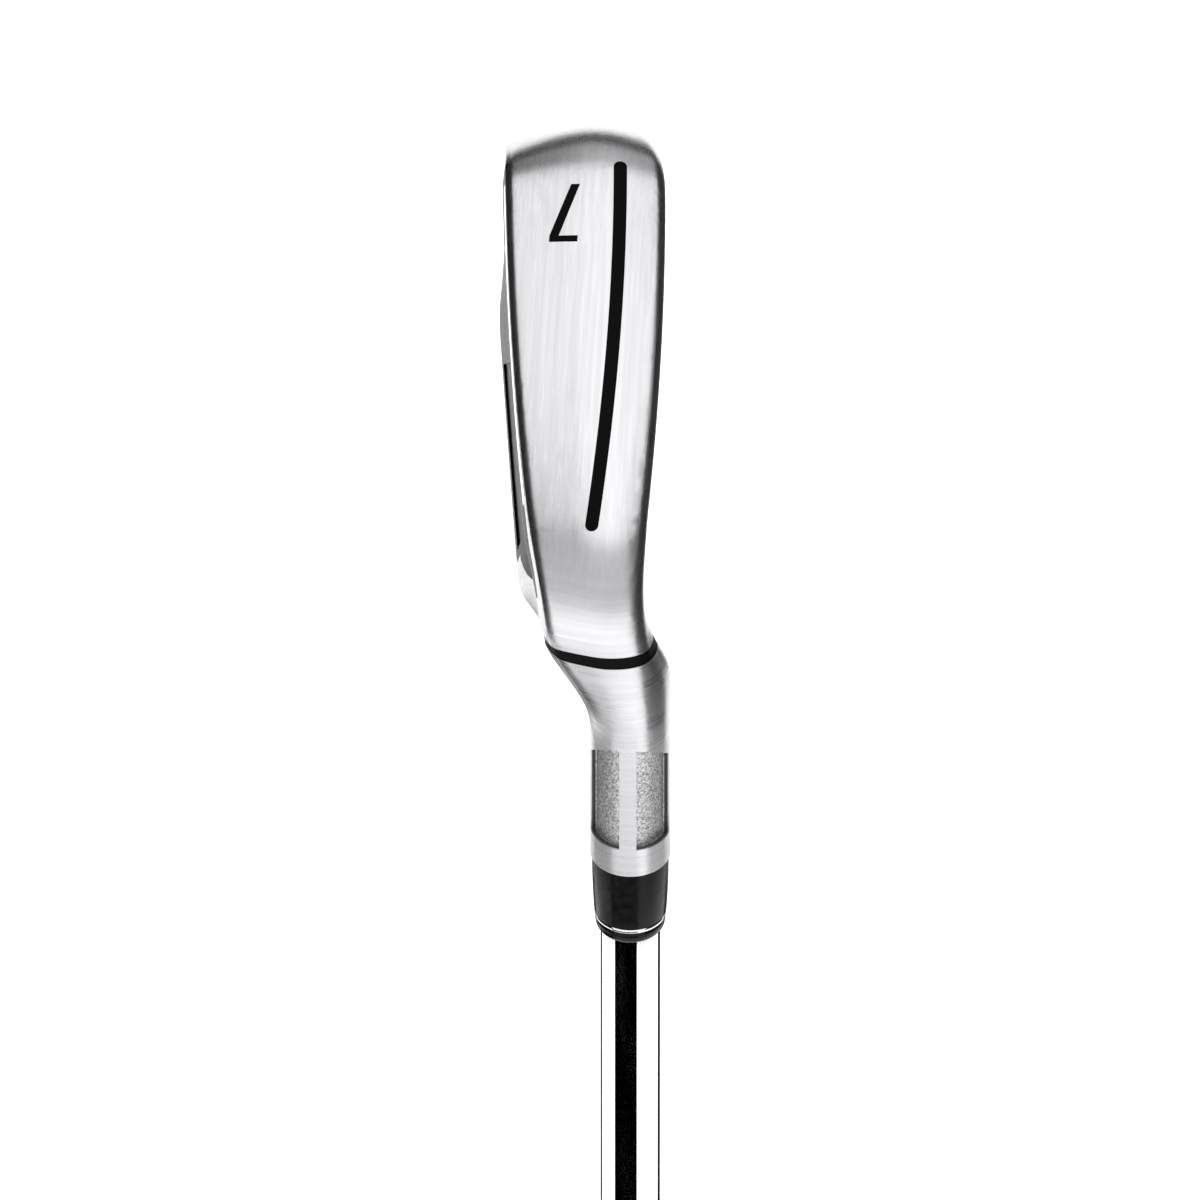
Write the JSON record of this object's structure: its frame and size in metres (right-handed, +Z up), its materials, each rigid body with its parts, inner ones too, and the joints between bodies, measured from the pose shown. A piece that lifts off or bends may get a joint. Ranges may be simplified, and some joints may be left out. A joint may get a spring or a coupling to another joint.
{
  "type": "golf iron",
  "caption": "Golf iron with a hollow steel head, slotted sole, fluted hosel, banded ferrule, stepped steel shaft and rubber grip.",
  "frame": {"origin": "centre of the butt end of the grip, at the mouth of the vent hole", "axes": "+Z up the shaft from the grip to the head, +X towards the target side the face looks to, +Y the side the toe points to"},
  "size_m": [0.039, 0.095, 0.9675],
  "materials": {
    "head_steel": "satin brushed",
    "face_steel": "blasted",
    "cap_black": "satin gloss",
    "trim_bright": "polished",
    "badge_grey": "anodised matt",
    "bond": "matt",
    "damper_rubber": "matt",
    "slot_polymer": "satin",
    "number_paint": "satin paint",
    "band_paint": "satin paint",
    "epoxy": "cured resin",
    "ferrule_black": "satin gloss",
    "ferrule_bright": "plated",
    "collar_black": "satin gloss",
    "weight_brass": "turned",
    "shaft_chrome": "mirror plated",
    "tape": "matt",
    "grip_rubber": "matt moulded",
    "cap_rubber": "matt moulded",
    "grip_paint": "paint"
  },
  "bodies": {
    "root": {"head_body": "head_steel", "face_plate": "face_steel", "back_cap": "cap_black", "cap_trim": "trim_bright", "back_badge": "badge_grey", "cap_bond": "bond", "damper": "damper_rubber", "slot_filler": "slot_polymer", "sole_number_fill": "number_paint", "hosel_band_fill": "band_paint", "shaft_epoxy": "epoxy", "ferrule_barrel": "ferrule_black", "ferrule_ring": "ferrule_bright", "ferrule_collar": "collar_black", "tip_weight": "weight_brass", "shaft_tube": "shaft_chrome", "grip_tape": "tape", "grip_sleeve": "grip_rubber", "grip_cap": "cap_rubber", "grip_paint_fill": "grip_paint"}
  },
  "joints": []
}
